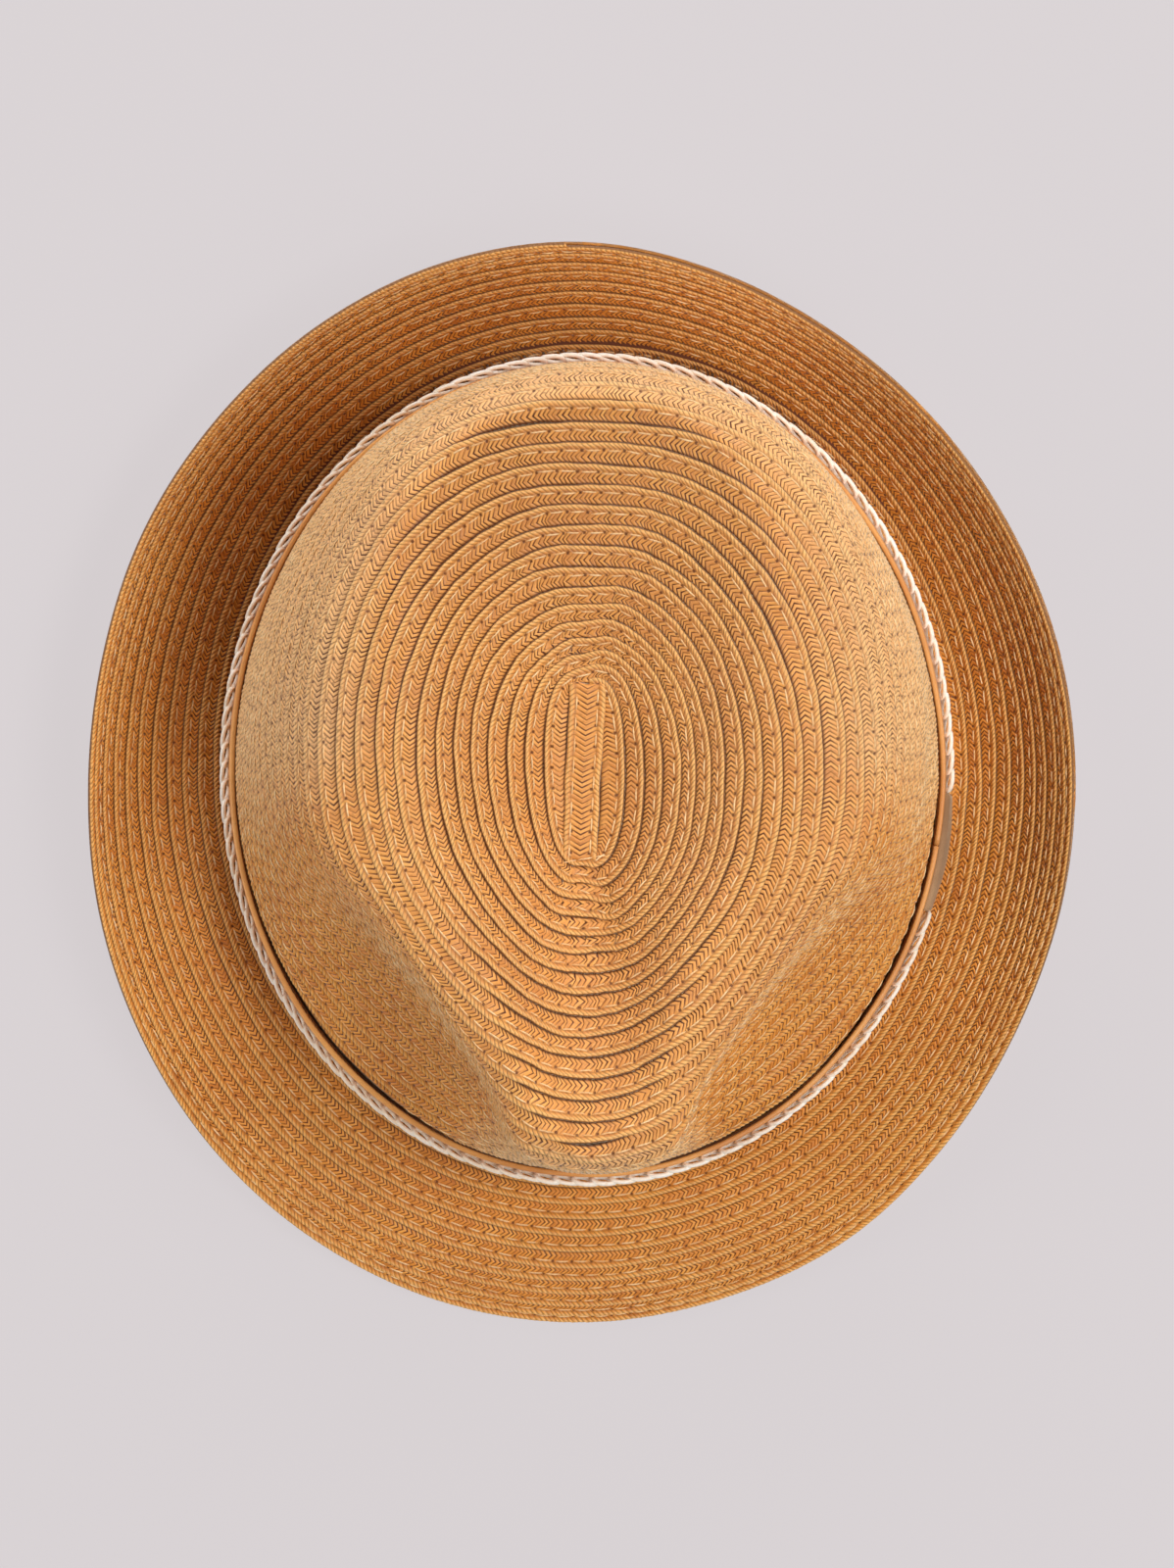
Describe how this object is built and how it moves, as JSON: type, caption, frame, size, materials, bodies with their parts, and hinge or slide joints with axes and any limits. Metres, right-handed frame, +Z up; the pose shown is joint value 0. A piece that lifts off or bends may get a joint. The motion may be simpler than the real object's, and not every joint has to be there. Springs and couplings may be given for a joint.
{
  "type": "braided straw trilby hat",
  "caption": "Short-brimmed straw hat sewn from a spiral of plaited braid, with dished tip, pinched front, upturned back brim, leather band, looped chain trim and side patch.",
  "frame": {"origin": "middle of the hat's plan, on the surface it rests on", "axes": "+Z up; -Y towards the front of the brim, +Y towards its upturned back; +X towards the side with the patch"},
  "size_m": [0.2446, 0.2692, 0.107],
  "materials": {
    "straw": "plaited paper straw, soft sheen",
    "leather": "smooth tan",
    "cord": "twisted cream cotton",
    "suede": "soft brown-grey nap"
  },
  "bodies": {
    "root": {"braid_body": "straw", "hat_band": "leather", "chain_trim": "cord", "side_patch": "suede"}
  },
  "joints": []
}
